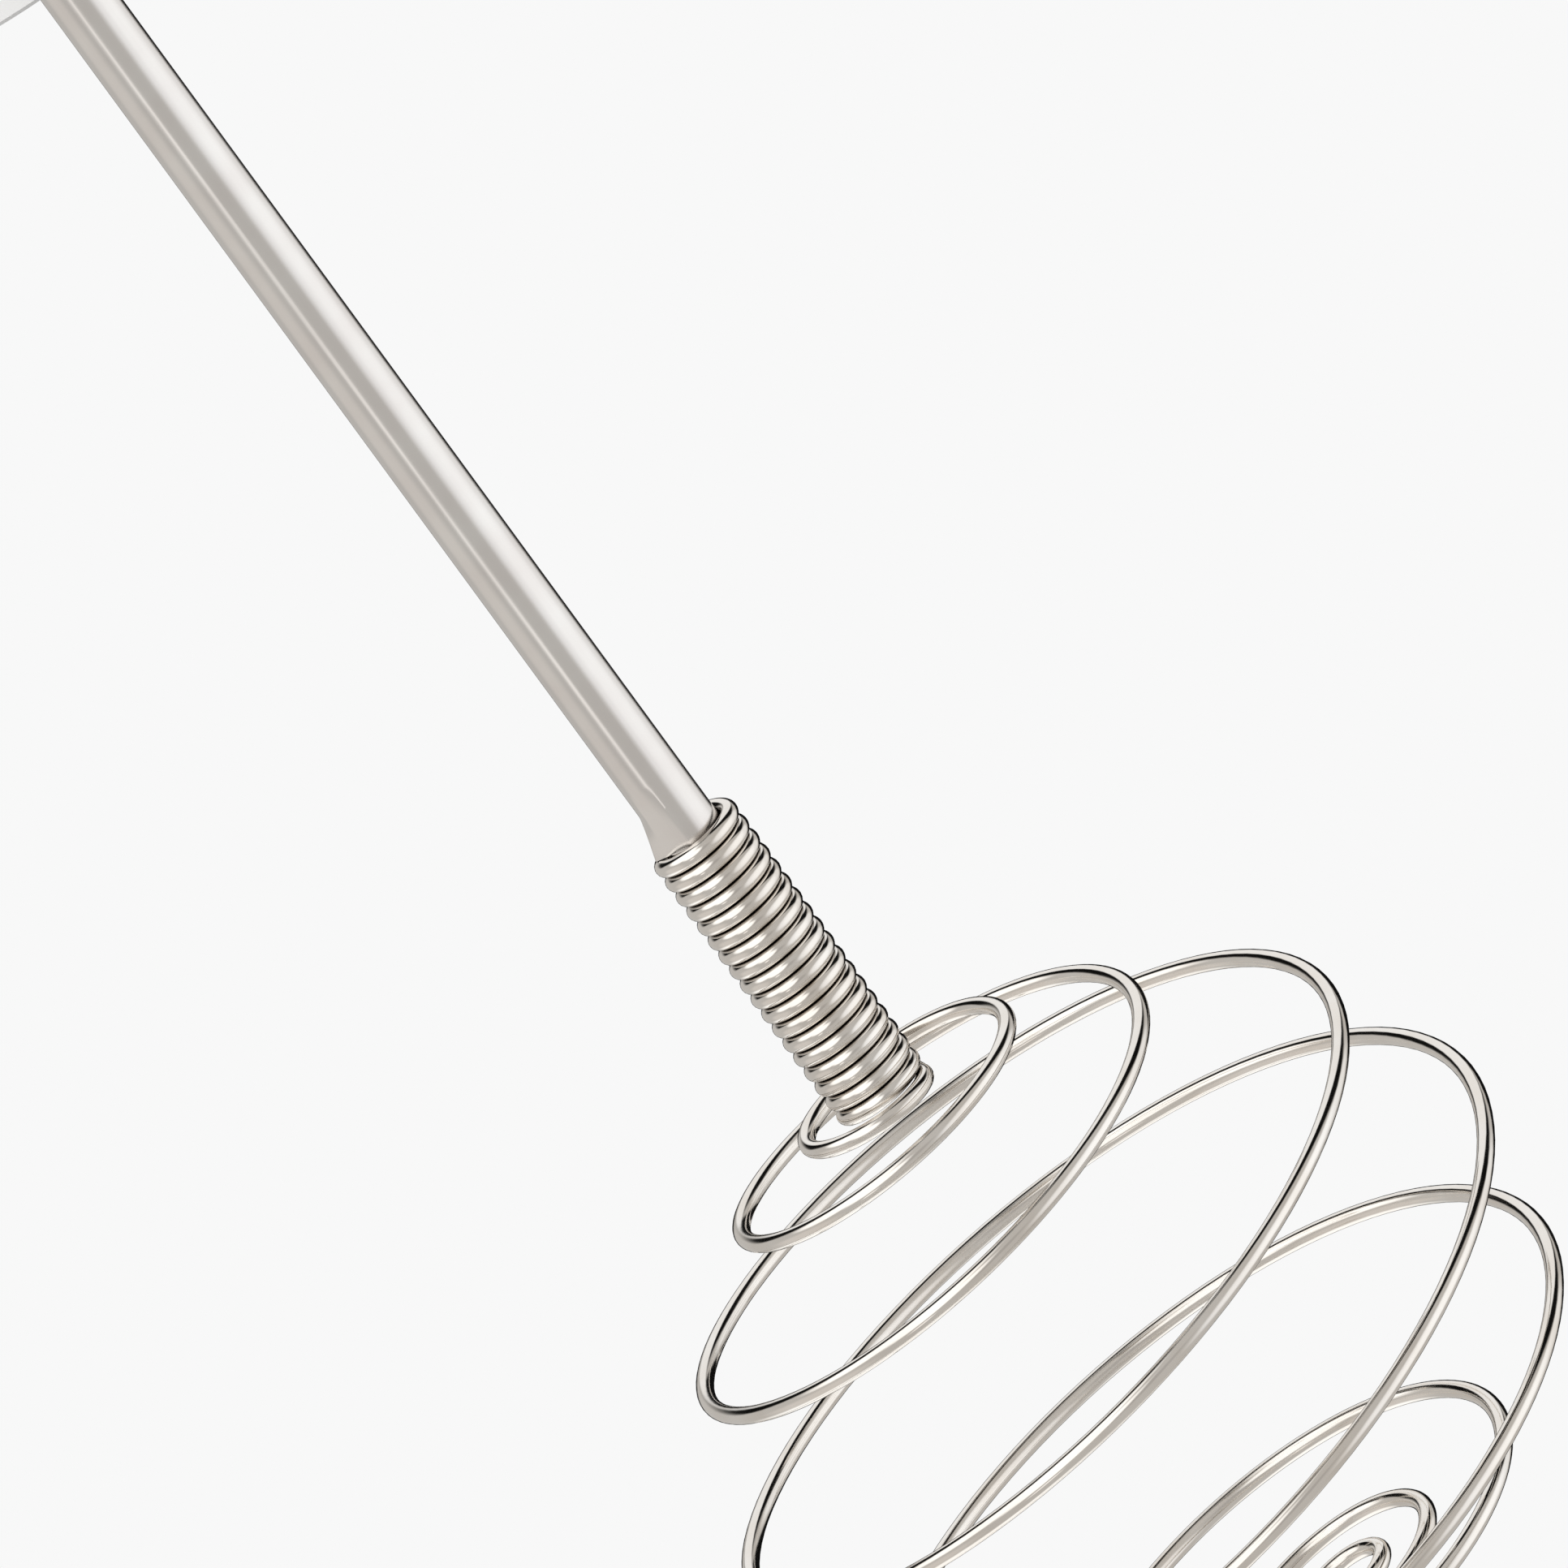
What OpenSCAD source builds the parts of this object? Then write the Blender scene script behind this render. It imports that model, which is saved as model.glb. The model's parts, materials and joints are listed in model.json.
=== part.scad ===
// Hand-held rechargeable milk frother with a push-in wire whisk.
// The spin axis is Z, the whisk hangs down, and the origin is the middle of the grip on the handle's axis.

/* [Handle] */
// Outer diameter of the handle
handle_d = 26; // [26:0.5:30]
// Length of the handle
handle_len = 138; // [138:1:160]
// Wall thickness of the outer sleeve
wall_t = 1.8; // [1.5:0.1:1.8]
// Distance from the middle of the grip up to the handle's top
grip_drop = 24; // [20:1:30]
// Height of each end cap that shows outside the sleeve
cap_h = 5; // [4:0.5:6]

/* [Button] */
// Diameter of the power button
button_d = 11.2; // [9:0.2:11.2]
// Distance from the middle of the grip down to the button
button_drop = 30; // [26:1:34]
// How far the button stands out of the handle
button_out = 0.5; // [0.3:0.1:0.8]
// How far the button travels
button_travel = 0.5; // [0.3:0.1:0.5]

/* [Whisk] */
// Diameter of the whisk shaft
shaft_d = 3.6; // [3:0.1:3.6]
// Length of shaft between the handle and the tight coil
shaft_out = 61.5; // [40:0.1:80]
// Diameter of the whisk wire
wire_d = 1; // [0.8:0.05:1]
// Number of turns in the tight coil
coil_turns = 18.3; // [10:0.1:22]
// How far the ball leans to the right, in degrees
lean_right = 7; // [0:0.5:8]
// How far the ball leans to the back, in degrees
lean_back = 6; // [0:0.5:8]

/* [Hidden] */
$fn = 96;
eps = 1;          // how far a cutter runs past the face it cuts
gap = 0.05;       // clearance of parts that slot together
slack = 0.15;     // clearance of loose inner parts in the sleeve

// Handle
sleeve_r = handle_d / 2;
bore_r = sleeve_r - wall_t;
inner_r = bore_r - slack;
top_z = grip_drop;
low_z = top_z - handle_len;
top_seam = top_z - cap_h;
low_seam = low_z + cap_h;
seam_bevel = 0.25;
plug_len = 6;
plug_wall = 1.6;
plug_r = bore_r - 0.1;
ring_wire_r = 0.55;
ring_r = bore_r - ring_wire_r - 0.03;
top_edge_r = 2;

// Nose and drive
nose_floor = 2.2;
nose_hole_r = 4.2;
seal_r = 5.5;
seal_h = 2.4;
coupling_r = 3.4;
coupling_low = low_z + 0.6;
socket_r = shaft_d / 2 + gap;
socket_len = 12;
coupling_top = coupling_low + 18.8;
slot_w = 1.15;
slot_len = 4.6;
clip_z = coupling_low + 8;
clip_h = 0.6;

// Motor
motor_front = low_z + 22;
motor_len = 25;
motor_back = motor_front + motor_len;
motor_r = 10.05;
motor_flat = 7.55;
can_t = 0.8;
boss_r = 3.075;
boss_h = 1.6;
rotor_r = 1;
bush_bore_r = rotor_r + 0.03;
front_bush_r = 2.4;
rear_bush_r = 2.2;
magnet_r = 6.75;
core_r = 6.3;
core_low = motor_front + 5;
core_len = 13;
poles = 3;
comm_r = 2.3;
comm_low = motor_front + 19.6;
comm_len = 4.4;
bell_h = 2.6;
bell_plug = 2;
terminal_x = 3.4;

// Battery and board
cell_r = 7;
cell_len = 50;
cell_y = 3.15;
cell_low = top_z - 79;
cell_top = cell_low + cell_len;
tray_low = cell_low - 5;
tray_wall = 1.35;
tray_front = -3.6;
board_t = 1;
board_y = -5.2;
board_back = board_y + board_t;
board_w = 16;
neck_w = 12;
board_low = cell_low + 13;
board_shoulder = top_seam - plug_len - 1;
board_top = top_seam + 0.5;
screw_x = 5;
screw_z = top_z - 20;

// Charging port
port_y = board_back + 1.63;
port_w = 9.6;
port_t = 3.8;
shell_top = top_z - 3.15;
shell_len = 7.35;
cover_t = 1.1;
cover_w = 6.6;
cover_len = 15;
hinge_x = -7.6;
hinge_z = top_z - cover_t / 2;

// Button, lights, and the groove that ends the plain grip above them
button_z = -button_drop;
button_r = button_d / 2;
well_r = button_r + 0.7;
switch_w = 6;
switch_h = 3.4;
plunger_r = 1.7;
plunger_tip = board_y - switch_h - 0.9;
light_x = 2.2;
light_z = button_z + 10.5;
light_r = 0.8;
groove_z = light_z + 3.5;
groove_w = 0.8;
groove_deep = 0.35;

// Whisk wire: a tight right-handed coil, then a ball whose [radius, depth] is given once per turn.
// The first station only sets how fast the wire leaves the coil, and the last two how it ends.
coil_r = shaft_d / 2 + gap + wire_d / 2;
coil_pitch = wire_d + 0.015;
coil_top = low_z - shaft_out - wire_d / 2;
coil_low = coil_top - coil_turns * coil_pitch;
ball_stations = [
    [0, -1], [coil_r, 0], [7.8, 0], [13.9, 3.8], [21.7, 11.5], [23.7, 21.8],
    [20.7, 31.7], [12.1, 38], [5.7, 39.2], [2.4, 39.2], [0.8, 39], [0, 39]
];
lean_turns = 4;     // the lean grows over this many turns of the ball
ball_turns = 8.4;
coil_rings = 16;    // rings of points in one tight turn
ball_rings = 30;    // rings of points in one open turn
wire_sides = 8;
fin_h = 2.5;
fin_out = 2.5;
fin_t = 0.9;
first_left = floor(coil_turns - 0.5) + 0.5;    // turns up to where the wire first passes the left
fin_low = coil_low + first_left * coil_pitch + wire_d / 2 + gap;

// ---- shared shapes ----

module rod(r, z0, z1) {
    translate([0, 0, z0]) cylinder(r = r, h = z1 - z0);
}

module tube(r_out, r_in, z0, z1) {
    difference() {
        rod(r_out, z0, z1);
        rod(r_in, z0 - eps, z1 + eps);
    }
}

module block(x0, x1, y0, y1, z0, z1) {
    translate([x0, y0, z0]) cube([x1 - x0, y1 - y0, z1 - z0]);
}

// A round rod that points to the back, from y0 to y1.
module cross_rod(r, y0, y1, x = 0, z = 0) {
    translate([x, y0, z]) rotate([-90, 0, 0]) cylinder(r = r, h = y1 - y0, $fn = 64);
}

// A flat-sided round bar: the outline of the motor.
module motor_bar(r, flat, z0, z1) {
    intersection() {
        rod(r, z0, z1);
        block(-r, r, -flat, flat, z0, z1);
    }
}

// A bar with round ends, centred on the port.
module port_bar(w, t, z0, z1) {
    side = (w - t) / 2;
    translate([0, port_y, z0]) linear_extrude(z1 - z0) {
        square([2 * side, t], center = true);
        for (x = [-side, side]) translate([x, 0]) circle(d = t, $fn = 48);
    }
}

// ---- casing ----

module outer_sleeve() {
    color("whitesmoke") difference() {
        rotate_extrude() polygon([
            [bore_r, low_seam], [sleeve_r - seam_bevel, low_seam], [sleeve_r, low_seam + seam_bevel],
            [sleeve_r, groove_z - groove_w / 2], [sleeve_r - groove_deep, groove_z - groove_w / 2],
            [sleeve_r - groove_deep, groove_z + groove_w / 2], [sleeve_r, groove_z + groove_w / 2],
            [sleeve_r, top_seam - seam_bevel], [sleeve_r - seam_bevel, top_seam], [bore_r, top_seam]
        ]);
        cross_rod(well_r, -sleeve_r - eps, 0, z = button_z);
        for (x = [-light_x, light_x]) cross_rod(light_r, -sleeve_r - eps, 0, x, light_z);
    }
}

// The plug of an end cap, from its seam inwards, with the groove for its ring.
module cap_plug(seam, dir) {
    groove_z = seam + dir * 3;
    difference() {
        tube(plug_r, plug_r - plug_wall, min(seam, seam + dir * plug_len), max(seam, seam + dir * plug_len));
        translate([0, 0, groove_z]) rotate_extrude()
            translate([ring_r, 0]) circle(r = ring_wire_r, $fn = 32);
    }
}

module nose_cap() {
    floor_z = low_z + nose_floor;
    color("whitesmoke") {
        rotate_extrude() polygon([
            [nose_hole_r, low_z], [sleeve_r - seam_bevel, low_z], [sleeve_r, low_z + seam_bevel],
            [sleeve_r, low_seam - seam_bevel], [sleeve_r - seam_bevel, low_seam],
            [plug_r - plug_wall, low_seam], [plug_r - plug_wall, floor_z], [seal_r + 1.2, floor_z],
            [seal_r + 1.2, floor_z + seal_h], [seal_r, floor_z + seal_h], [seal_r, floor_z],
            [nose_hole_r, floor_z]
        ]);
        cap_plug(low_seam, 1);
    }
}

module top_cap() {
    ceiling = top_z - 3;
    color("whitesmoke") {
        difference() {
            rotate_extrude() polygon(concat(
                [[0, ceiling], [plug_r - plug_wall, ceiling], [plug_r - plug_wall, top_seam],
                 [sleeve_r - seam_bevel, top_seam], [sleeve_r, top_seam + seam_bevel]],
                [for (a = [0 : 7.5 : 90]) [
                    sleeve_r - top_edge_r + top_edge_r * cos(a),
                    top_z - top_edge_r + top_edge_r * sin(a)
                ]],
                [[0, top_z]]
            ));
            port_bar(port_w, port_t, ceiling - eps, top_z);
            block(hinge_x - 0.8, hinge_x + cover_len + 0.4, port_y - cover_w / 2 - 0.25,
                port_y + cover_w / 2 + 0.25, top_z - cover_t - 0.1, top_z + eps);
        }
        cap_plug(top_seam, -1);
    }
}

module cap_o_rings() {
    color("dimgray") for (z = [low_seam + 3, top_seam - 3]) {
        translate([0, 0, z]) rotate_extrude()
            translate([ring_r, 0]) circle(r = ring_wire_r - 0.02, $fn = 32);
    }
}

module shaft_seal() {
    floor_z = low_z + nose_floor;
    color("dimgray") tube(seal_r, coupling_r + gap, floor_z, floor_z + seal_h);
}

// ---- inner frame ----

module motor_mount() {
    foot = low_seam + plug_len;
    color("gainsboro") difference() {
        rod(inner_r, foot, tray_low);
        rod(inner_r - 1.4, foot - eps, motor_front - boss_h - 0.1);
        rod(boss_r + gap, foot, motor_front + eps);
        motor_bar(motor_r + gap, motor_flat + gap, motor_front, motor_back + 2 * eps);
        rod(inner_r - 0.9, motor_back + eps, tray_low + eps);
    }
}

// A shelf across the tray that stops the cell, open at the front for the board.
module tray_shelf(z, t) {
    intersection() {
        rod(inner_r - tray_wall / 2, z, z + t);
        block(-inner_r, inner_r, tray_front, inner_r, z, z + t);
    }
}

module battery_tray() {
    tray_top = board_shoulder;
    rail_front = board_back + gap;
    color("gainsboro") difference() {
        union() {
            difference() {
                tube(inner_r, inner_r - tray_wall, tray_low, tray_top);
                block(-inner_r, inner_r, -inner_r - eps, board_y - 1.3, tray_low - eps, tray_top + eps);
                translate([0, cell_y, 0]) rod(cell_r + 0.1, cell_low - 0.4, cell_top + 1.4);
            }
            tray_shelf(cell_low - 1.8, 1.4);
            tray_shelf(cell_top + 1.4, 1.2);
            for (side = [-1, 1])
                block(side * 8.5 - 1.3, side * 8.5 + 1.3, rail_front, tray_front + 1, board_low, tray_top - 1);
            for (x = [-screw_x, screw_x]) cross_rod(1.9, rail_front, 9.4, x, screw_z);
        }
        for (x = [-screw_x, screw_x]) cross_rod(0.85, board_back - eps, 2, x, screw_z);
    }
}

// ---- motor ----

module motor_can() {
    color("silver") difference() {
        union() {
            motor_bar(motor_r, motor_flat, motor_front, motor_back);
            rod(boss_r, motor_front - boss_h, motor_front + eps);
        }
        motor_bar(motor_r - can_t, motor_flat - can_t, motor_front + can_t, motor_back + eps);
        rod(front_bush_r, motor_front - boss_h - eps, motor_front + 2 * eps);
    }
}

module motor_end_bell() {
    color("white") difference() {
        union() {
            motor_bar(motor_r, motor_flat, motor_back, motor_back + bell_h);
            motor_bar(motor_r - can_t - gap, motor_flat - can_t - gap, motor_back - bell_plug, motor_back + eps);
            rod(3, motor_back, motor_back + bell_h + 1.2);
        }
        rod(5, motor_back - bell_plug - eps, motor_back);
        rod(rear_bush_r, motor_back - eps, motor_back + bell_h + 2 * eps);
    }
}

module motor_magnets() {
    color("dimgray") for (turn = [0, 180]) rotate([0, 0, turn - 40]) {
        rotate_extrude(angle = 80) translate([magnet_r, motor_front + 4])
            square([motor_r - can_t - gap - magnet_r, 17]);
    }
}

module motor_brushes() {
    color("peru") for (side = [-1, 1]) {
        block(side * 2.7 - 0.15, side * 2.7 + 0.15, -2.5, 2.5, comm_low + 1, motor_back);
    }
}

module motor_terminals() {
    base = motor_back + bell_h;
    color("gold") for (x = [-terminal_x, terminal_x]) {
        block(x - 1.1, x + 1.1, board_y + 0.3, board_y + 0.7, base, base + 3.4);
    }
}

module front_bush() {
    color("darkgoldenrod") tube(front_bush_r, bush_bore_r, motor_front - boss_h, motor_front + 1.2);
}

module rear_bush() {
    color("darkgoldenrod") tube(rear_bush_r, bush_bore_r, motor_back + 0.6, motor_back + bell_h + 1.1);
}

module motor_leads() {
    color("firebrick") for (x = [-terminal_x, terminal_x]) {
        translate([x, board_y + board_t / 2, motor_back + bell_h + 3.4])
            cylinder(r = 0.45, h = board_low - motor_back - bell_h - 3.4, $fn = 24);
    }
}

module rotor_shaft() {
    color("silver") rod(rotor_r, coupling_low + 13, motor_back + bell_h + 1.6);
}

// One pole: a stem and the curved shoe that faces the magnets.
module pole() {
    block(0, core_r - 1.2, -1.1, 1.1, core_low, core_low + core_len);
    rotate([0, 0, -48]) rotate_extrude(angle = 96) translate([core_r - 1.4, core_low])
        square([1.4, core_len]);
}

module armature_core() {
    color("slategray") difference() {
        union() {
            rod(2.2, core_low, core_low + core_len);
            for (k = [0 : poles - 1]) rotate([0, 0, k * 360 / poles]) pole();
        }
        rod(rotor_r, core_low - eps, core_low + core_len + eps);
    }
}

module armature_windings() {
    color("chocolate") for (k = [0 : poles - 1]) rotate([0, 0, k * 360 / poles]) difference() {
        block(2.9, core_r - 1.9, -1.9, 1.9, core_low - 1.2, core_low + core_len + 1.2);
        block(0, core_r, -1.15, 1.15, core_low - gap, core_low + core_len + gap);
    }
}

module commutator() {
    color("peru") difference() {
        tube(comm_r, rotor_r, comm_low, comm_low + comm_len);
        for (k = [0 : poles - 1]) rotate([0, 0, k * 360 / poles + 60])
            block(comm_r - 0.5, comm_r + eps, -0.2, 0.2, comm_low - eps, comm_low + comm_len + eps);
    }
}

// ---- battery and electronics ----

module battery_cell() {
    color("steelblue") translate([0, cell_y, 0]) {
        rod(cell_r, cell_low, cell_top);
        rod(2.6, cell_top - eps, cell_top + 0.8);
    }
}

module battery_tabs() {
    strip = 0.2;
    color("silver") {
        block(-2.5, 2.5, board_back + gap, cell_y + 2, cell_top + 0.8, cell_top + 0.8 + strip);
        block(-2.5, 2.5, board_back + gap, cell_y + 2, cell_low - strip, cell_low);
        block(-2.5, 2.5, board_back + gap, board_back + gap + strip, cell_low - strip, board_low + 4);
    }
}

module circuit_board() {
    color("seagreen") difference() {
        union() {
            block(-board_w / 2, board_w / 2, board_y, board_back, board_low, board_shoulder);
            block(-neck_w / 2, neck_w / 2, board_y, board_back, board_shoulder - eps, board_top);
        }
        for (x = [-screw_x, screw_x]) cross_rod(1.05, board_y - eps, board_back + eps, x, screw_z);
    }
}

module charge_chip() {
    color("black") block(-2.5, 2.5, board_y - 1.2, board_y, screw_z + 4, screw_z + 8);
}

module motor_driver() {
    color("black") block(-5, -1, board_y - 1.4, board_y, light_z + 6, light_z + 11);
}

module chip_parts() {
    color("burlywood") for (z = [light_z + 5 : 2.5 : light_z + 15], x = [2, 5]) {
        block(x, x + 1.6, board_y - 0.7, board_y, z, z + 0.9);
    }
}

module board_screws() {
    color("silver") for (x = [-screw_x, screw_x]) {
        cross_rod(0.85, board_y - 0.2, 1, x, screw_z);
        difference() {
            cross_rod(1.8, board_y - 1.2, board_y, x, screw_z);
            translate([x, board_y - 1.2, screw_z]) cube([2.2, 1, 0.5], center = true);
            translate([x, board_y - 1.2, screw_z]) cube([0.5, 1, 2.2], center = true);
        }
    }
}

module usb_shell() {
    color("silver") difference() {
        port_bar(8.94, 3.2, shell_top - shell_len, shell_top);
        port_bar(8.34, 2.6, shell_top - shell_len + 0.5, shell_top + eps);
    }
}

module usb_tongue() {
    base = shell_top - shell_len + 0.5;
    color("black") {
        block(-3.35, 3.35, port_y - 0.35, port_y + 0.35, base, shell_top - 1);
        block(-3.6, 3.6, port_y - 1.1, port_y + 1.1, base, base + 1.5);
    }
}

module tact_switch() {
    half = switch_w / 2;
    color("dimgray") difference() {
        block(-half, half, board_y - switch_h, board_y, button_z - half, button_z + half);
        cross_rod(plunger_r + gap, board_y - switch_h - eps, board_y - 1.5, z = button_z);
    }
}

module button_gasket() {
    color("darkgray") intersection() {
        rod(sleeve_r - 0.1, button_z - 2 * well_r, button_z + 2 * well_r);
        difference() {
            cross_rod(well_r - gap, -sleeve_r, -bore_r + 1.2, z = button_z);
            cross_rod(button_r + slack, -sleeve_r - eps, 0, z = button_z);
        }
    }
}

module indicator_leds() {
    color("honeydew") for (x = [-light_x, light_x]) {
        block(x - 0.8, x + 0.8, board_y - 0.8, board_y, light_z - 0.5, light_z + 0.5);
    }
}

module light_pipes() {
    color("azure") intersection() {
        rod(sleeve_r, light_z - 3, light_z + 3);
        for (x = [-light_x, light_x]) cross_rod(light_r - 0.02, -sleeve_r, board_y - 0.9, x, light_z);
    }
}

// ---- moving pieces ----

module drive_coupling() {
    color("white") difference() {
        rod(coupling_r, coupling_low, coupling_top);
        rod(socket_r, coupling_low - eps, coupling_low + socket_len);
        rod(rotor_r, coupling_low + 13, coupling_top + eps);
        block(-2.6, 2.6, -slot_w / 2, slot_w / 2, coupling_low - eps, coupling_low + slot_len);
        rod(2.6, clip_z - gap, clip_z + clip_h + gap);
    }
}

module retaining_clip() {
    color("silver") difference() {
        tube(2.5, socket_r + 0.02, clip_z, clip_z + clip_h);
        block(0, 3, -0.7, 0.7, clip_z - eps, clip_z + clip_h + eps);
    }
}

module whisk_shaft() {
    shaft_r = shaft_d / 2;
    top = coupling_low + socket_len - 0.2;
    color("silver") {
        rotate_extrude() polygon([
            [0, coil_low + 3], [shaft_r, coil_low + 3], [shaft_r, top - 0.4], [shaft_r - 0.4, top], [0, top]
        ]);
        block(-2.45, 2.45, -0.5, 0.5, coupling_low + 0.4, coupling_low + 4.2);
        rotate([90, 0, 0]) linear_extrude(fin_t, center = true) polygon([
            [-shaft_r / 2, fin_low], [-fin_out, fin_low], [-fin_out, fin_low + 0.3],
            [-shaft_r + 0.05, fin_low + fin_h], [-shaft_r / 2, fin_low + fin_h]
        ]);
    }
}

// Slope of the ball's stations at station i, and the station curve at turn t, as [radius, depth].
function slope(i) = (ball_stations[i + 1] - ball_stations[i - 1]) / 2;
function ball_profile(t) =
    let (i = floor(t) + 1, s = t - floor(t), s2 = s * s, s3 = s2 * s)
    (2 * s3 - 3 * s2 + 1) * ball_stations[i] + (s3 - 2 * s2 + s) * slope(i)
    + (3 * s2 - 2 * s3) * ball_stations[i + 1] + (s3 - s2) * slope(i + 1);

// Leans a point of the ball about the coil's lower end; depth is measured down from there.
function leaned(x, y, depth, part) =
    let (a = lean_right * part, b = lean_back * part, d = depth * cos(a) - x * sin(a))
    [x * cos(a) + depth * sin(a), y * cos(b) + d * sin(b), coil_low - d * cos(b) + y * sin(b)];

// The wire's centre line at turn t: the tight coil below 0, the ball above 0.
function wire_point(t) =
    let (ball = t > 0, p = ball ? ball_profile(t) : [coil_r, t * coil_pitch], a = -360 * t)
    leaned(p[0] * cos(a), p[0] * sin(a), p[1], max(0, min(t / lean_turns, 1)));

function unit(v) = v / norm(v);
// The ring of points round the wire at turn t.
function wire_ring(t) =
    let (
        c = wire_point(t),
        along = unit(wire_point(t + 0.002) - wire_point(t - 0.002)),
        side = unit(cross(along, [0, 0, 1])),
        up = cross(side, along),
        half = 180 / wire_sides
    )
    [for (k = [0 : wire_sides - 1])
        c + wire_d / 2 * (cos(2 * half * k + half) * side + sin(2 * half * k + half) * up)];

module whisk_wire() {
    turns = concat(
        [for (k = [0 : coil_turns * coil_rings - 1]) k / coil_rings - coil_turns],
        [for (k = [0 : ball_turns * ball_rings]) k / ball_rings]
    );
    rings = len(turns);
    n = wire_sides;
    color("silver") polyhedron(
        points = [for (t = turns) each wire_ring(t)],
        faces = concat(
            [[for (k = [n - 1 : -1 : 0]) k]],
            [for (i = [0 : rings - 2], k = [0 : n - 1])
                [i * n + k, i * n + (k + 1) % n, (i + 1) * n + (k + 1) % n, (i + 1) * n + k]],
            [[for (k = [0 : n - 1]) (rings - 1) * n + k]]
        )
    );
}

module power_button() {
    color("lightgray") difference() {
        union() {
            intersection() {
                rod(sleeve_r + button_out, button_z - button_r, button_z + button_r);
                cross_rod(button_r, -sleeve_r - eps, -bore_r + 1.2, z = button_z);
            }
            cross_rod(1.5, -bore_r, plunger_tip - 0.05, z = button_z);
        }
        translate([0, -sleeve_r - 24.1, button_z]) sphere(r = 24);
    }
}

module switch_plunger() {
    color("black") cross_rod(plunger_r, plunger_tip, board_y - 2.4, z = button_z);
}

module port_cover() {
    half = cover_w / 2;
    color("gray") {
        block(hinge_x, hinge_x + cover_len, port_y - half, port_y + half, top_z - cover_t, top_z);
        translate([hinge_x, port_y - half, hinge_z]) rotate([-90, 0, 0])
            cylinder(d = cover_t, h = cover_w, $fn = 32);
        port_bar(8, 2.4, top_z - cover_t - 1.6, top_z - cover_t + 0.1);
    }
}

outer_sleeve();
nose_cap();
top_cap();
cap_o_rings();
shaft_seal();
motor_mount();
battery_tray();
motor_can();
motor_end_bell();
motor_magnets();
motor_brushes();
motor_terminals();
front_bush();
rear_bush();
motor_leads();
battery_cell();
battery_tabs();
circuit_board();
charge_chip();
motor_driver();
chip_parts();
board_screws();
usb_shell();
usb_tongue();
tact_switch();
button_gasket();
indicator_leds();
light_pipes();
rotor_shaft();
armature_core();
armature_windings();
commutator();
drive_coupling();
retaining_clip();
whisk_shaft();
whisk_wire();
power_button();
switch_plunger();
port_cover();
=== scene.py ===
"""Looks of a hand-held milk frother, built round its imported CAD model. Lengths are in metres."""

import json
import math

import bpy
from mathutils import Matrix, Vector


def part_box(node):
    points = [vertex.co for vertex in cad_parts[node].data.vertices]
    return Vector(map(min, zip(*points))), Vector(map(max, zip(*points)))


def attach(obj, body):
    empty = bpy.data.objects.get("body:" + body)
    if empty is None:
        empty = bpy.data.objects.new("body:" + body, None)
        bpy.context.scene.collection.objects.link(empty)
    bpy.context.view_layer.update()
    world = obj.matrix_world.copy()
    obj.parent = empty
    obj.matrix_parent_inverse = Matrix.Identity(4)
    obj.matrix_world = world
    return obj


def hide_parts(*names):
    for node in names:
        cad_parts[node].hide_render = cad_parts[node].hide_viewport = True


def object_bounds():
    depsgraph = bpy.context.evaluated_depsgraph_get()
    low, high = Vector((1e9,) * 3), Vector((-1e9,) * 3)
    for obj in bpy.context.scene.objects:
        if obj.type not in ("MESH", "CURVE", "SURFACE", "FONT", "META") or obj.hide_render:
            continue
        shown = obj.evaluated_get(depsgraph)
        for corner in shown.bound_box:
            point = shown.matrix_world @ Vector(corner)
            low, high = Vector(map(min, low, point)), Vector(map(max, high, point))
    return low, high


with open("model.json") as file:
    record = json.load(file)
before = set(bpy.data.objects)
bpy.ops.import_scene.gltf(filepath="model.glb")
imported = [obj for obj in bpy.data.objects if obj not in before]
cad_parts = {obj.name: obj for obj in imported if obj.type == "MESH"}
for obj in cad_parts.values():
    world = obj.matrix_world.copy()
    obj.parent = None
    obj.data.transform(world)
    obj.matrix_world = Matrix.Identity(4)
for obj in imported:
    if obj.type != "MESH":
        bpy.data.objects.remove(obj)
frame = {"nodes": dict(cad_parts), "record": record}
cad_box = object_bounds()
NODES = frame["nodes"]
MM = 0.001

# Driving sizes, repeated from the CAD model
SHAFT_R = 1.8 * MM
WIRE_R = 0.5 * MM
GAP = 0.05 * MM
SHAFT_OUT = 61.5 * MM
COIL_TURNS = 18.3
COIL_PITCH = 1.015 * MM
COIL_R = SHAFT_R + GAP + WIRE_R
# The ball's radius and depth in millimetres, once per turn from turn -1.
# The first and the last only set the slopes.
BALL_STATIONS = [
    (0, -1), (2.35, 0), (7.8, 0), (13.9, 3.8), (21.7, 11.5), (23.7, 21.8),
    (20.7, 31.7), (12.1, 38), (5.7, 39.2), (2.4, 39.2), (0.8, 39), (0, 39),
]
BALL_TURNS = 8.4
LEAN_TURNS = 4
LEAN_RIGHT = math.radians(7)
LEAN_BACK = math.radians(6)

# The camera's tilt and roll, and the colour behind the whisk
LOOK_DOWN = math.radians(15.5)
LOOK_ROLL = math.radians(36.2)
BACKDROP = (0.939, 0.939, 0.939)

# Places, from the frame
NOSE_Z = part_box("nose_cap")[0].z
TOP_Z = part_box("top_cap")[1].z
COVER_T = 1.1 * MM
COVER_W = 6.6 * MM
COVER_X = (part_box("port_cover")[0].x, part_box("port_cover")[1].x)
PORT_Y = (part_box("port_cover")[0].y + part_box("port_cover")[1].y) / 2
COIL_LOW = NOSE_Z - SHAFT_OUT - WIRE_R - COIL_TURNS * COIL_PITCH
# Turns up from the coil's lower end to where the wire first passes the left side, which is where the fin ends
FIRST_LEFT = math.floor(COIL_TURNS - 0.5) + 0.5
FIN_LOW = COIL_LOW + FIRST_LEFT * COIL_PITCH + WIRE_R + GAP


# ---------------------------------------------------------------- mesh helpers

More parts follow.
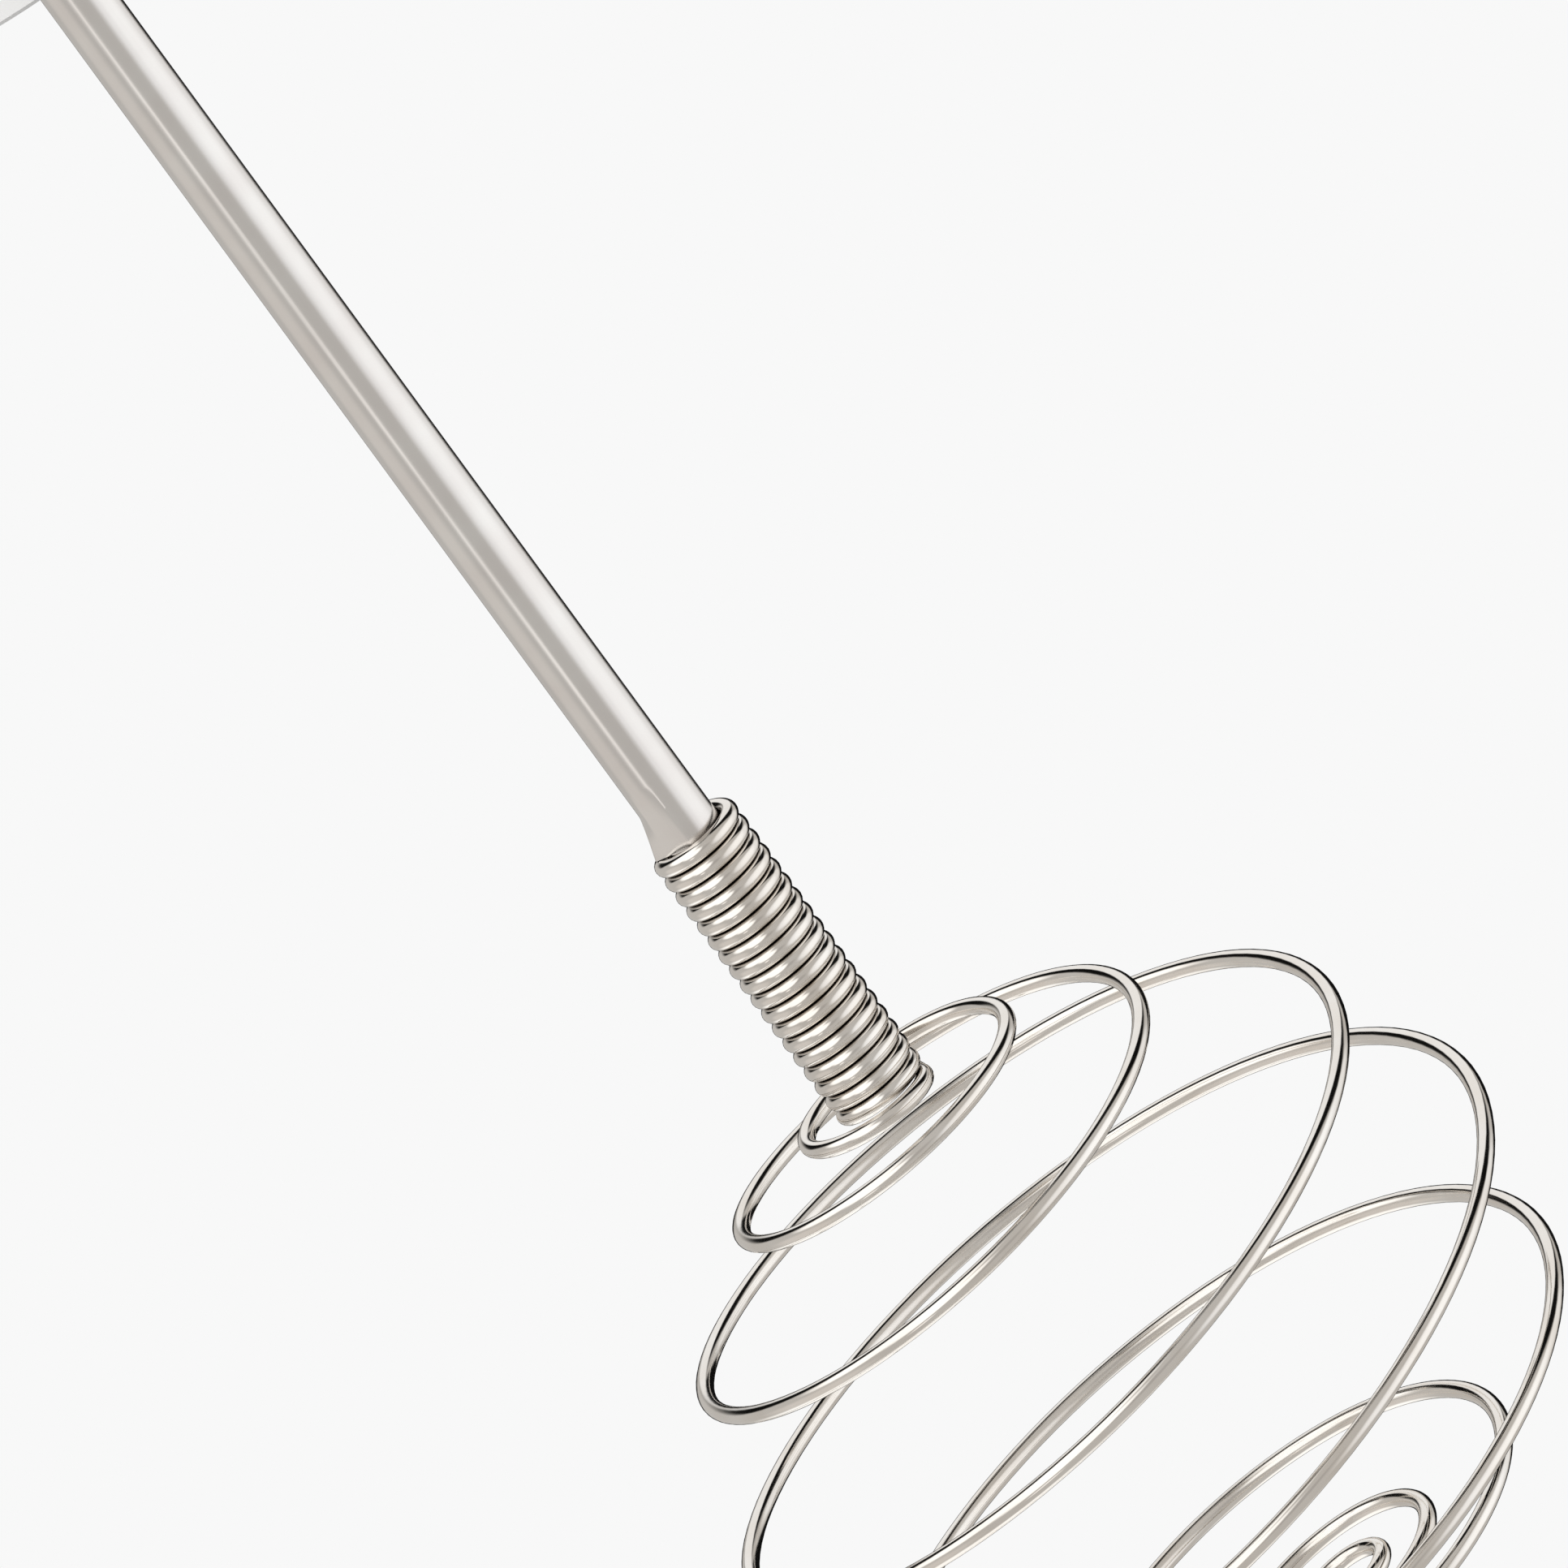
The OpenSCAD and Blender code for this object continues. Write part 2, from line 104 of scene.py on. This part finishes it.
def add_object(name, verts, faces):
    mesh = bpy.data.meshes.new(name)
    mesh.from_pydata([tuple(v) for v in verts], [], faces)
    mesh.update()
    for polygon in mesh.polygons:
        polygon.use_smooth = True
    obj = bpy.data.objects.new(name, mesh)
    bpy.context.scene.collection.objects.link(obj)
    return obj


def loft(name, rings, lengths=None):
    """A closed skin through rings of equally many points. The UV map runs along the loft and round it."""
    n = len(rings[0])
    verts = [p for ring in rings for p in ring]
    faces = []
    for i in range(len(rings) - 1):
        for k in range(n):
            j = (k + 1) % n
            faces.append((i * n + k, i * n + j, (i + 1) * n + j, (i + 1) * n + k))
    faces.append(tuple(reversed(range(n))))
    faces.append(tuple((len(rings) - 1) * n + k for k in range(n)))
    obj = add_object(name, verts, faces)
    if lengths:
        layer = obj.data.uv_layers.new(name="along")
        for polygon in obj.data.polygons[:-2]:
            i, k = divmod(polygon.index, n)
            corners = ((i, k), (i, k + 1), (i + 1, k + 1), (i + 1, k))
            for loop, (ring, side) in zip(polygon.loop_indices, corners):
                layer.data[loop].uv = (lengths[ring], side / n)
    return obj


def bevel(obj, width):
    """Rounds the sharp edges of a piece with a modifier, so its own mesh stays as it is."""
    modifier = obj.modifiers.new("edges", "BEVEL")
    modifier.width = width
    modifier.segments = 3
    modifier.limit_method = "ANGLE"
    modifier.angle_limit = math.radians(40)
    modifier.harden_normals = True


# ---------------------------------------------------------------- whisk wire

def ball_profile(turn):
    """Radius and depth of the ball at a turn, on a smooth curve through the stations."""
    i = int(math.floor(turn)) + 1
    s = turn - math.floor(turn)
    near, far = Vector(BALL_STATIONS[i]), Vector(BALL_STATIONS[i + 1])
    near_slope = (far - Vector(BALL_STATIONS[i - 1])) / 2
    far_slope = (Vector(BALL_STATIONS[i + 2]) - near) / 2
    place = (2 * s**3 - 3 * s**2 + 1) * near + (3 * s**2 - 2 * s**3) * far
    return (place + (s**3 - 2 * s**2 + s) * near_slope + (s**3 - s**2) * far_slope) * MM


def wire_point(turn):
    """Centre of the wire: the tight coil before turn 0, and the leaning ball after it."""
    if turn > 0:
        radius, depth = ball_profile(turn)
    else:
        radius, depth = COIL_R, turn * COIL_PITCH
    part = max(0.0, min(turn / LEAN_TURNS, 1.0))
    right, back = LEAN_RIGHT * part, LEAN_BACK * part
    x = radius * math.cos(-2 * math.pi * turn)
    y = radius * math.sin(-2 * math.pi * turn)
    down = depth * math.cos(right) - x * math.sin(right)
    return Vector((
        x * math.cos(right) + depth * math.sin(right),
        y * math.cos(back) + down * math.sin(back),
        COIL_LOW - down * math.cos(back) + y * math.sin(back),
    ))


def sweep(name, centres, radii, sides):
    """A round tube along centres, with a frame carried along so that it doesn't twist."""
    rings, lengths, run = [], [], 0.0
    across = None
    for i, centre in enumerate(centres):
        ahead = centres[min(i + 1, len(centres) - 1)]
        behind = centres[max(i - 1, 0)]
        along = (ahead - behind).normalized()
        if across is None:
            across = along.orthogonal()
        across = (across - along * across.dot(along)).normalized()
        other = along.cross(across)
        rings.append([
            centre + radii[i] * (math.cos(a) * across + math.sin(a) * other)
            for a in (2 * math.pi * k / sides for k in range(sides))
        ])
        if i:
            run += (centre - centres[i - 1]).length
        lengths.append(run)
    return loft(name, rings, lengths)


def whisk_wire():
    coil_steps, ball_steps, sides, cap_steps = 56, 110, 20, 6    # steps are per turn
    tip_least = 0.02 * WIRE_R
    cut_out, cut_r = 0.12 * WIRE_R, 0.82 * WIRE_R
    turns = [k / coil_steps - COIL_TURNS for k in range(int(COIL_TURNS * coil_steps))]
    turns += [k / ball_steps for k in range(int(BALL_TURNS * ball_steps) + 1)]
    centres = [wire_point(t) for t in turns]
    radii = [WIRE_R] * len(centres)
    # The last end is a rounded tip, the first a cut with a small bevel
    tip, heading = centres[-1], (centres[-1] - centres[-2]).normalized()
    for k in range(1, cap_steps + 1):
        a = math.pi / 2 * k / cap_steps
        centres.append(tip + heading * WIRE_R * math.sin(a))
        radii.append(max(WIRE_R * math.cos(a), tip_least))
    start, heading = centres[0], (centres[0] - centres[1]).normalized()
    centres.insert(0, start + heading * cut_out)
    radii.insert(0, cut_r)
    return sweep("stainless_wire", centres, radii, sides)


# ---------------------------------------------------------------- whisk shaft

def pinched(angle):
    """Radius of the fully pinched end, at an angle from its fin.

    Two flats run from creases to a round tip.
    """
    fin_out, tip_r, crease = 2.5 * MM, 0.2 * MM, math.radians(77)
    centre = fin_out - tip_r
    if abs(angle) >= crease:
        return SHAFT_R
    edge_x, edge_y = SHAFT_R * math.cos(crease) - centre, SHAFT_R * math.sin(crease)
    facing = math.atan2(edge_y, edge_x) - math.acos(tip_r / math.hypot(edge_x, edge_y))
    flank = (centre * math.cos(facing) + tip_r) / math.cos(abs(angle) - facing)
    inside = tip_r**2 - (centre * math.sin(angle))**2
    if inside > 0 and abs(angle) < facing:
        flank = min(flank, centre * math.cos(angle) + math.sqrt(inside))
    return flank


def shaft_radius(angle, z):
    """Radius of the shaft, whose sides are flattened first, before the fin is drawn out down to the coil."""
    full = pinched(angle)
    # The fin grows almost evenly over its height, and the flats are soon at their full depth
    height, power = (2.5 * MM, 1.1) if full > SHAFT_R else (4.1 * MM, 0.6)
    s = max(0.0, min((FIN_LOW + height - z) / height, 1.0))
    return SHAFT_R + (full - SHAFT_R) * s**power


def whisk_shaft():
    low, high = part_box("whisk_shaft")[0].z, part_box("whisk_shaft")[1].z
    sides, chamfer = 120, 0.4 * MM
    fin_steps, fin_step = 39, 0.11 * MM
    # Each level is a height and how far the radius is changed there
    levels = [(low, -chamfer / 2), (low + chamfer / 2, 0), (FIN_LOW - 0.01 * MM, 0)]
    levels += [(FIN_LOW + k * fin_step, 0) for k in range(fin_steps)]
    levels += [(FIN_LOW + 6 * MM, 0), (FIN_LOW + 30 * MM, 0), (NOSE_Z, 0)]
    levels += [(high - chamfer, 0), (high, -chamfer)]
    rings = []
    for z, inset in levels:
        finned = FIN_LOW <= z < FIN_LOW + fin_steps * fin_step
        ring = []
        for k in range(sides):
            a = 2 * math.pi * k / sides
            r = shaft_radius(math.pi - a, z) if finned else SHAFT_R
            ring.append(Vector(((r + inset) * math.cos(a), (r + inset) * math.sin(a), z)))
        rings.append(ring)
    rod = loft("shaft_rod", rings, [z - low for z, _ in levels])
    rod.data.set_sharp_from_angle(angle=math.radians(12))
    return rod


def shaft_wings():
    """The two pressed wings that the coupling's slot drives, at the shaft's hidden upper end."""
    low, high = NOSE_Z + 1.0 * MM, NOSE_Z + 4.8 * MM
    half_w, half_t = 2.45 * MM, 0.5 * MM
    corners = [(-half_w, -half_t), (half_w, -half_t), (half_w, half_t), (-half_w, half_t)]
    rings = [[Vector((x, y, z)) for x, y in corners] for z in (low, high)]
    wings = loft("shaft_wings", rings)
    bevel(wings, 0.18 * MM)
    return wings


# ---------------------------------------------------------------- port cover

def cover_outline(inset, hinge_inset, z):
    """A ring of the cover's outline at a height, with round corners, drawn in by an inset."""
    corner_r, least_r, steps = 1.1 * MM, 0.15 * MM, 8
    x0, x1 = COVER_X[0] + hinge_inset, COVER_X[1] - inset
    y0, y1 = PORT_Y - COVER_W / 2 + inset, PORT_Y + COVER_W / 2 - inset
    r = max(corner_r - inset, least_r)
    corners = ((x1 - r, y1 - r, 0), (x0 + r, y1 - r, 90), (x0 + r, y0 + r, 180), (x1 - r, y0 + r, 270))
    ring = []
    for x, y, start in corners:
        for k in range(steps + 1):
            a = math.radians(start + 90 * k / steps)
            ring.append(Vector((x + r * math.cos(a), y + r * math.sin(a), z)))
    return ring


def port_flap():
    """The soft cover: a plate that is round at its hinge, with a shallow dished panel on top."""
    half_t, dish, rim, edge_round, edge_steps = COVER_T / 2, 0.22 * MM, 0.9 * MM, 0.25 * MM, 12
    rings = []
    for k in range(edge_steps + 1):
        a = math.radians(-90 + 180 * k / edge_steps)
        edge = edge_round * abs(math.sin(a))**6
        rings.append(cover_outline(edge, half_t * (1 - math.cos(a)), TOP_Z - half_t + half_t * math.sin(a)))
    for inset, depth in ((rim, 0), (rim + 0.12 * MM, dish * 0.5), (rim + 0.4 * MM, dish)):
        rings.append(cover_outline(inset, half_t + inset, TOP_Z - depth))
    return loft("port_flap", rings)


def port_plug():
    """The hollow plug under the cover that fills the port."""
    outer_w, outer_t, wall, steps = 8 * MM, 2.4 * MM, 0.5 * MM, 16
    top, low = TOP_Z - COVER_T + 0.05 * MM, TOP_Z - COVER_T - 1.6 * MM

    def bar(inset, z):
        r = outer_t / 2 - inset
        side = (outer_w - outer_t) / 2
        ring = []
        for x, start in ((side, -90), (-side, 90)):
            for k in range(steps + 1):
                a = math.radians(start + 180 * k / steps)
                ring.append(Vector((x + r * math.cos(a), PORT_Y + r * math.sin(a), z)))
        return ring

    rings = [bar(wall, top - 0.3 * MM), bar(wall, low + 0.1 * MM), bar(wall - 0.1 * MM, low)]
    rings += [bar(0.15 * MM, low), bar(0, low + 0.2 * MM), bar(0, top)]
    return loft("port_plug", rings)


# ---------------------------------------------------------------- materials

def new_material(name):
    material = bpy.data.materials.new(name)
    material.use_nodes = True
    nodes, links = material.node_tree.nodes, material.node_tree.links
    return material, nodes, links, nodes["Principled BSDF"]


def coordinates(nodes, links, scale, output="Object"):
    """Texture coordinates of a piece, stretched by scale."""
    source = nodes.new("ShaderNodeTexCoord")
    mapping = nodes.new("ShaderNodeMapping")
    mapping.inputs["Scale"].default_value = scale
    links.new(source.outputs[output], mapping.inputs["Vector"])
    return mapping.outputs["Vector"]


def noise(nodes, links, vector, detail):
    """Noise whose size comes from the scale of its coordinates."""
    texture = nodes.new("ShaderNodeTexNoise")
    texture.inputs["Scale"].default_value = 1.0
    texture.inputs["Detail"].default_value = detail
    texture.inputs["Roughness"].default_value = 0.55
    links.new(vector, texture.inputs["Vector"])
    return texture.outputs["Fac"]


def spread(nodes, links, value, low, high):
    """Maps a noise value of about 0.3 to 0.7 onto low to high."""
    ranged = nodes.new("ShaderNodeMapRange")
    ranged.inputs["From Min"].default_value = 0.3
    ranged.inputs["From Max"].default_value = 0.7
    ranged.inputs["To Min"].default_value = low
    ranged.inputs["To Max"].default_value = high
    links.new(value, ranged.inputs["Value"])
    return ranged.outputs["Result"]


def two_tones(nodes, links, value, dark, light):
    """A colour that drifts between two tones with a noise value."""
    ramp = nodes.new("ShaderNodeValToRGB")
    ramp.color_ramp.elements[0].position = 0.3
    ramp.color_ramp.elements[0].color = (*dark, 1)
    ramp.color_ramp.elements[1].position = 0.7
    ramp.color_ramp.elements[1].color = (*light, 1)
    links.new(value, ramp.inputs["Fac"])
    return ramp.outputs["Color"]


def bump(nodes, links, shader, height, distance):
    node = nodes.new("ShaderNodeBump")
    node.inputs["Strength"].default_value = 1.0
    node.inputs["Distance"].default_value = distance
    links.new(height, node.inputs["Height"])
    links.new(node.outputs["Normal"], shader.inputs["Normal"])


def shade(colour, amount):
    """A colour made darker or lighter by a factor."""
    return tuple(min(1.0, c * amount) for c in colour)


def drawn_steel(name, colour, stain, along_scale, around_scale, rough, depth):
    """Polished stainless: draw lines depth mm deep along the piece, faint warm stains, and painted shade that
    darkens the base colour in grooves and creases.
    """
    material, nodes, links, shader = new_material(name)
    lines = noise(nodes, links, coordinates(nodes, links, (along_scale, around_scale, 1), "UV"), 2.0)
    patches = noise(nodes, links, coordinates(nodes, links, (260, 260, 260)), 3.0)
    shader.inputs["Metallic"].default_value = 1.0
    clean = two_tones(nodes, links, patches, stain, colour)
    # Painted shade: an ambient-occlusion mask pulls the base colour towards near black in grooves and creases,
    # such as between the coil's turns.
    hollow = nodes.new("ShaderNodeAmbientOcclusion")
    hollow.samples = 8
    hollow.inputs["Distance"].default_value = 0.45 * MM
    open_metal = nodes.new("ShaderNodeMapRange")
    open_metal.inputs["From Min"].default_value = 0.16
    open_metal.inputs["From Max"].default_value = 0.58
    links.new(hollow.outputs["AO"], open_metal.inputs["Value"])
    groove_shade = nodes.new("ShaderNodeMix")
    groove_shade.data_type = "RGBA"
    groove_shade.inputs["A"].default_value = (0.06, 0.038, 0.024, 1)
    links.new(open_metal.outputs["Result"], groove_shade.inputs["Factor"])
    links.new(clean, groove_shade.inputs["B"])
    links.new(groove_shade.outputs["Result"], shader.inputs["Base Color"])
    links.new(spread(nodes, links, lines, *rough), shader.inputs["Roughness"])
    bump(nodes, links, shader, lines, depth * MM)
    return material


def moulded(name, colour, grain, depth, rough=(0.34, 0.44), tone=0.98, sheen=0.0):
    """Moulded plastic or rubber with a fine spark-eroded grain, depth mm deep."""
    material, nodes, links, shader = new_material(name)
    fine = noise(nodes, links, coordinates(nodes, links, (grain, grain, grain)), 4.0)
    slow = noise(nodes, links, coordinates(nodes, links, (60, 60, 60)), 2.0)
    links.new(two_tones(nodes, links, slow, shade(colour, tone), colour), shader.inputs["Base Color"])
    links.new(spread(nodes, links, slow, *rough), shader.inputs["Roughness"])
    bump(nodes, links, shader, fine, depth * MM)
    shader.inputs["Sheen Weight"].default_value = sheen
    return material


def machined(name, colour, rough, stretch, depth):
    """Bare metal inside the handle, with marks depth mm deep, stretched one way."""
    material, nodes, links, shader = new_material(name)
    marks = noise(nodes, links, coordinates(nodes, links, stretch), 3.0)
    shader.inputs["Metallic"].default_value = 1.0
    links.new(two_tones(nodes, links, marks, shade(colour, 0.85), colour), shader.inputs["Base Color"])
    links.new(spread(nodes, links, marks, *rough), shader.inputs["Roughness"])
    bump(nodes, links, shader, marks, depth * MM)
    return material


def clear_plastic(name, colour):
    """Half-clear plastic with a faint haze."""
    material, nodes, links, shader = new_material(name)
    haze = noise(nodes, links, coordinates(nodes, links, (900, 900, 900)), 2.0)
    shader.inputs["Base Color"].default_value = (*colour, 1)
    shader.inputs["Transmission Weight"].default_value = 0.55
    shader.inputs["IOR"].default_value = 1.49
    links.new(spread(nodes, links, haze, 0.12, 0.22), shader.inputs["Roughness"])
    return material


def slot_materials():
    """One material for each of the record's slots."""
    steel, wire_steel = (0.80, 0.78, 0.755), (0.86, 0.83, 0.79)
    return {
        "white_shell": moulded("white_shell", (0.80, 0.80, 0.795), 5200, 0.004, (0.36, 0.44), 0.99),
        "soft_grey": moulded("soft_grey", (0.36, 0.365, 0.375), 3800, 0.01, (0.55, 0.7), 0.92, 0.2),
        "seal_rubber": moulded("seal_rubber", (0.03, 0.03, 0.03), 3000, 0.01, (0.5, 0.65), 0.8),
        "button_grey": moulded("button_grey", (0.62, 0.62, 0.62), 4600, 0.006, (0.4, 0.5), 0.97),
        "frame_plastic": moulded("frame_plastic", (0.66, 0.66, 0.63), 2600, 0.01, (0.45, 0.6), 0.94),
        "white_nylon": moulded("white_nylon", (0.78, 0.77, 0.72), 2600, 0.008, (0.4, 0.55), 0.95),
        "zinc_steel": machined("zinc_steel", (0.62, 0.63, 0.64), (0.25, 0.42), (900, 900, 90), 0.004),
        "spring_steel": machined("spring_steel", (0.66, 0.65, 0.63), (0.15, 0.3), (300, 300, 2500), 0.002),
        "ferrite": machined("ferrite", (0.05, 0.05, 0.055), (0.5, 0.7), (1500, 1500, 1500), 0.01),
        "copper": machined("copper", (0.86, 0.44, 0.28), (0.2, 0.4), (400, 400, 3000), 0.003),
        "enamelled_wire": machined("enamelled_wire", (0.42, 0.13, 0.04), (0.2, 0.35), (200, 200, 5000), 0.03),
        "brass_tab": machined("brass_tab", (0.83, 0.64, 0.3), (0.25, 0.4), (900, 900, 200), 0.003),
        "sintered_bronze": machined(
            "sintered_bronze", (0.5, 0.33, 0.16), (0.45, 0.65), (4000, 4000, 4000), 0.01
        ),
        "lamination": machined("lamination", (0.3, 0.31, 0.32), (0.4, 0.6), (80, 80, 2800), 0.03),
        "ground_steel": machined("ground_steel", (0.7, 0.7, 0.7), (0.12, 0.25), (200, 200, 3000), 0.002),
        "red_flex": moulded("red_flex", (0.5, 0.03, 0.02), 2500, 0.004, (0.3, 0.45), 0.85),
        "cell_wrap": moulded("cell_wrap", (0.03, 0.13, 0.36), 900, 0.006, (0.22, 0.32), 0.9),
        "nickel": machined("nickel", (0.68, 0.64, 0.55), (0.25, 0.4), (1200, 200, 200), 0.003),
        "board_green": moulded("board_green", (0.01, 0.12, 0.04), 1500, 0.01, (0.25, 0.4), 0.7),
        "chip_black": moulded("chip_black", (0.014, 0.014, 0.016), 4200, 0.008, (0.45, 0.6), 0.8),
        "chip_tan": moulded("chip_tan", (0.3, 0.2, 0.1), 4200, 0.005, (0.35, 0.5), 0.8),
        "led_clear": clear_plastic("led_clear", (0.93, 0.97, 0.95)),
        "whisk_steel": drawn_steel(
            "whisk_steel", wire_steel, (0.80, 0.75, 0.69), 300, 9, (0.07, 0.13), 0.0003
        ),
        "shaft_steel": drawn_steel(
            "shaft_steel", steel, (0.76, 0.725, 0.70), 60, 60, (0.17, 0.25), 0.001
        ),
    }


def assign(obj, material):
    obj.data.materials.clear()
    obj.data.materials.append(material)


# ---------------------------------------------------------------- studio

def look_basis(elevation, roll):
    """The camera's right, up and backward directions: it looks along +Y, down by elevation, rolled by roll."""
    backward = Vector((0, -math.cos(elevation), math.sin(elevation)))
    upright = Vector((0, math.sin(elevation), math.cos(elevation)))
    sideways = Vector((1, 0, 0))
    right = math.cos(roll) * sideways - math.sin(roll) * upright
    up = math.sin(roll) * sideways + math.cos(roll) * upright
    return right, up, backward


def make_camera():
    """A very long lens, level with neither axis: the whisk runs from the upper left to the lower right."""
    distance, view_w = 3.0, 84.7 * MM
    aim_right, aim_down = 5.57 * MM, 63 * MM
    target = Vector((aim_right, 0, NOSE_Z - aim_down))
    right, up, backward = look_basis(LOOK_DOWN, LOOK_ROLL)
    data = bpy.data.cameras.new("camera")
    data.sensor_width = 36
    data.lens = data.sensor_width * distance / view_w
    data.clip_start, data.clip_end = 0.1, 30
    camera = bpy.data.objects.new("camera", data)
    basis = Matrix((right, up, backward)).transposed()
    camera.matrix_world = Matrix.Translation(target + backward * distance) @ basis.to_4x4()
    bpy.context.scene.collection.objects.link(camera)
    bpy.context.scene.camera = camera


def area_light(name, place, size, watts):
    """A soft light aimed at the handle's lower half, which neither the camera nor the steel sees."""
    target = Vector((0, 0, -0.07))
    data = bpy.data.lights.new(name, "AREA")
    data.shape = "RECTANGLE"
    data.size, data.size_y = size
    data.energy = watts
    light = bpy.data.objects.new(name, data)
    light.location = place
    light.rotation_euler = (target - Vector(place)).to_track_quat("-Z", "Y").to_euler()
    light.visible_camera = False
    light.visible_glossy = False
    bpy.context.scene.collection.objects.link(light)


def make_world():
    """A plain backdrop for the camera. The steel mirrors a warm grey room with white panels and dark flags."""
    world = bpy.data.worlds.new("studio")
    world.use_nodes = True
    nodes, links = world.node_tree.nodes, world.node_tree.links
    nodes.clear()
    output = nodes.new("ShaderNodeOutputWorld")
    seen = nodes.new("ShaderNodeBackground")
    seen.inputs["Color"].default_value = (*BACKDROP, 1)
    room = nodes.new("ShaderNodeBackground")
    mixed = nodes.new("ShaderNodeMixShader")
    rays = nodes.new("ShaderNodeLightPath")
    links.new(rays.outputs["Is Camera Ray"], mixed.inputs["Fac"])
    links.new(room.outputs["Background"], mixed.inputs[1])
    links.new(seen.outputs["Background"], mixed.inputs[2])
    links.new(mixed.outputs["Shader"], output.inputs["Surface"])
    direction = nodes.new("ShaderNodeTexCoord").outputs["Generated"]

    def patch(azimuth, elevation, inner, outer):
        """1 within inner degrees of a direction, 0 beyond outer. Azimuth 0 is the camera's side, 90 is +X."""
        a, e = math.radians(azimuth), math.radians(elevation)
        dot = nodes.new("ShaderNodeVectorMath")
        dot.operation = "DOT_PRODUCT"
        dot.inputs[1].default_value = (math.sin(a) * math.cos(e), -math.cos(a) * math.cos(e), math.sin(e))
        links.new(direction, dot.inputs[0])
        ranged = nodes.new("ShaderNodeMapRange")
        ranged.interpolation_type = "SMOOTHSTEP"
        ranged.inputs["From Min"].default_value = math.cos(math.radians(outer))
        ranged.inputs["From Max"].default_value = math.cos(math.radians(inner))
        links.new(dot.outputs["Value"], ranged.inputs["Value"])
        return ranged.outputs["Result"]

    def times(a, b):
        product = nodes.new("ShaderNodeMath")
        product.operation = "MULTIPLY"
        links.new(a, product.inputs[0])
        links.new(b, product.inputs[1])
        return product.outputs["Value"]

    def over(under, factor, colour):
        mix = nodes.new("ShaderNodeMix")
        mix.data_type = "RGBA"
        links.new(factor, mix.inputs["Factor"])
        if isinstance(under, tuple):
            mix.inputs["A"].default_value = (*under, 1)
        else:
            links.new(under, mix.inputs["A"])
        mix.inputs["B"].default_value = (*colour, 1)
        return mix.outputs["Result"]

    tone = over((0.565, 0.55, 0.53), patch(0, 12, 6, 22), (0.46, 0.445, 0.43))
    for azimuth, elevation, inner, outer, colour in (
        (100, -10, 20, 34, (0.94, 0.94, 0.94)),     # panel on the right, brightest in its middle
        (62, -10, 24, 45, (1.0, 1.0, 1.01)),
        (74, -10, 5, 38, (1.16, 1.17, 1.18)),
        (-32, 27, 16, 29, (1.35, 1.35, 1.34)),      # panel high on the left
        (-75, 50, 22, 36, (1.35, 1.35, 1.34)),
        (-88, -18, 12, 34, (0.71, 0.68, 0.65)),     # wall on the left, and a strip light beside the camera
        (-34, -15, 3, 8, (1.15, 1.12, 1.09)),
        (-130, -62, 18, 36, (1.25, 1.25, 1.24)),    # sweep of the backdrop, low behind on the left
    ):
        tone = over(tone, patch(azimuth, elevation, inner, outer), colour)
    # Black flags behind the object, with a white card in the upper one
    flag = (0.005, 0.005, 0.005)
    high = patch(0, 90, 68, 80)
    tone = over(tone, times(patch(165, 35, 50, 60), high), flag)
    tone = over(tone, patch(166, -14, 26, 31), flag)
    tone = over(tone, patch(168, 38, 23, 29), (0.95, 0.95, 0.95))
    links.new(tone, room.inputs["Color"])
    # Dull surfaces get less of the room than the steel mirrors, so that the lights model the handle
    dimmer = nodes.new("ShaderNodeMapRange")
    dimmer.inputs["To Min"].default_value = 1.0
    dimmer.inputs["To Max"].default_value = 0.55
    links.new(rays.outputs["Is Diffuse Ray"], dimmer.inputs["Value"])
    links.new(dimmer.outputs["Result"], room.inputs["Strength"])
    bpy.context.scene.world = world


def make_floor():
    """A plain pale floor under the hanging whisk. It is lit mostly from within, so that it stays even."""
    half, drop = 6.0, 0.05
    z = cad_box[0].z - drop
    floor = add_object(
        "floor", [(-half, -half, z), (half, -half, z), (half, half, z), (-half, half, z)], [(0, 1, 2, 3)]
    )
    material, nodes, links, shader = new_material("floor_paper")
    tooth = noise(nodes, links, coordinates(nodes, links, (400, 400, 400)), 3.0)
    shader.inputs["Base Color"].default_value = (0, 0, 0, 1)
    shader.inputs["Specular IOR Level"].default_value = 0.0
    shader.inputs["Roughness"].default_value = 0.95
    shader.inputs["Emission Color"].default_value = (*BACKDROP, 1)
    shader.inputs["Emission Strength"].default_value = 1.0
    bump(nodes, links, shader, tooth, 0.02 * MM)
    # Clear from underneath, so that the whisk can be seen from below
    mixed, side = nodes.new("ShaderNodeMixShader"), nodes.new("ShaderNodeNewGeometry")
    links.new(side.outputs["Backfacing"], mixed.inputs["Fac"])
    links.new(shader.outputs["BSDF"], mixed.inputs[1])
    links.new(nodes.new("ShaderNodeBsdfTransparent").outputs["BSDF"], mixed.inputs[2])
    links.new(mixed.outputs["Shader"], nodes["Material Output"].inputs["Surface"])
    assign(floor, material)
    floor.visible_glossy = False
    floor.visible_diffuse = False


# ---------------------------------------------------------------- build

make_camera()
make_world()
make_floor()
area_light("key", place=(-0.55, -0.6, 0.35), size=(0.3, 0.3), watts=6.7)
area_light("top", place=(0.1, 0.2, 0.9), size=(0.6, 0.4), watts=2.6)
area_light("fill", place=(0.8, -0.3, 0.0), size=(0.4, 0.6), watts=1.3)

materials = slot_materials()
for subpart in frame["record"]["subparts"]:
    assign(NODES[subpart["node"]], materials[subpart["material_slot"]])

wire = whisk_wire()
assign(wire, materials["whisk_steel"])
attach(wire, "whisk")
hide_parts("whisk_wire")

shaft = whisk_shaft()
wings = shaft_wings()
for piece in (shaft, wings):
    assign(piece, materials["shaft_steel"])
    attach(piece, "whisk")
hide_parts("whisk_shaft")

flap = port_flap()
plug = port_plug()
for piece in (flap, plug):
    assign(piece, materials["soft_grey"])
    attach(piece, "cover")
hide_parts("port_cover")

bevel(NODES["power_button"], 0.25 * MM)

bpy.context.scene.view_settings.view_transform = "Standard"
